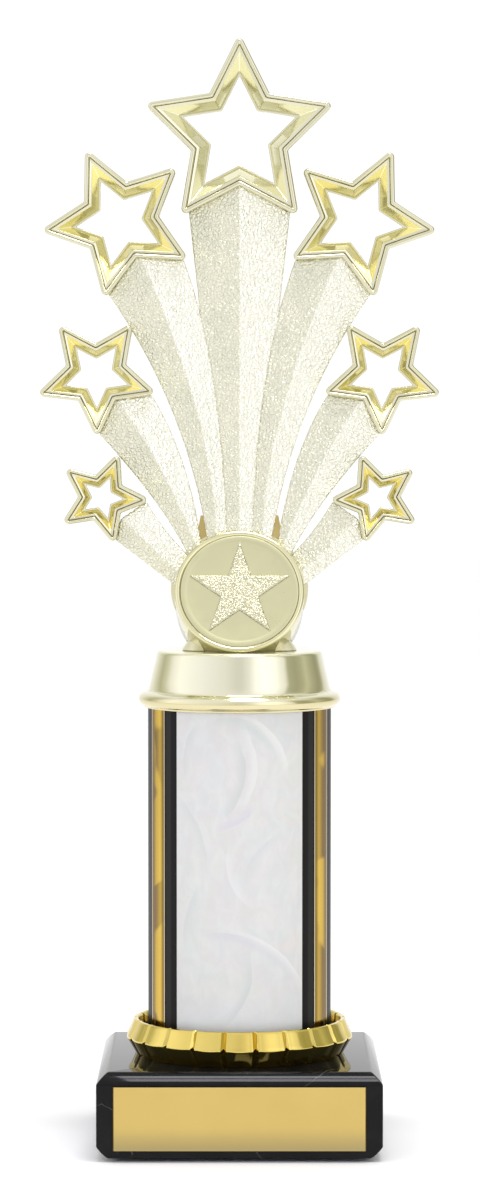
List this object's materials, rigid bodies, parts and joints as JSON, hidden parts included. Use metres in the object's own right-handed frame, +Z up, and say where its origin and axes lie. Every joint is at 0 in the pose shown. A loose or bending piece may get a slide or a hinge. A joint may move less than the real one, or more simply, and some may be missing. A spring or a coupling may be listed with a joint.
{
  "type": "column trophy",
  "caption": "Trophy with a spray of hollow stars and a medallion on a round foiled column over a fluted ring and a bevelled black marble base.",
  "frame": {"origin": "middle of the resting plane, under the column's axis", "axes": "+Z up along the column, -Y to the front with the name plate and the medallion, +X to the viewer's right"},
  "size_m": [0.086, 0.0613, 0.2375],
  "materials": {
    "marble": "polished",
    "felt": "matte",
    "zinc_steel": "zinc plated",
    "brass": "turned",
    "tape": "adhesive",
    "plate_gold": "satin",
    "ring_gold": "vacuum metallised",
    "black_plastic": "gloss",
    "pearl_foil": "pearl foil",
    "gold_foil": "mirror foil",
    "pale_gold": "vacuum metallised",
    "trail_gold": "hammered, vacuum metallised",
    "disc_gold": "satin with a stippled star"
  },
  "bodies": {
    "root": {"marble_base": "marble", "base_pads": "felt", "tie_rod": "zinc_steel", "base_washer": "zinc_steel", "base_nut": "zinc_steel", "plate_tape": "tape", "name_plate": "plate_gold", "fluted_ring": "ring_gold", "column_tube": "black_plastic", "panel_front": "pearl_foil", "panel_back": "pearl_foil", "strip_front_left": "gold_foil", "strip_front_right": "gold_foil", "strip_back_left": "gold_foil", "strip_back_right": "gold_foil", "column_cap": "pale_gold", "topper_foot": "pale_gold", "topper_nut": "brass", "medal_cup": "pale_gold", "disc_pad": "tape", "medal_disc": "disc_gold", "star_top": "pale_gold", "star_upper_left": "pale_gold", "star_upper_right": "pale_gold", "star_middle_left": "pale_gold", "star_middle_right": "pale_gold", "star_lower_left": "pale_gold", "star_lower_right": "pale_gold", "trail_centre": "trail_gold", "trail_upper_left": "trail_gold", "trail_upper_right": "trail_gold", "trail_middle_left": "trail_gold", "trail_middle_right": "trail_gold", "trail_lower_left": "trail_gold", "trail_lower_right": "trail_gold", "web_left": "pale_gold", "web_right": "pale_gold"}
  },
  "joints": []
}
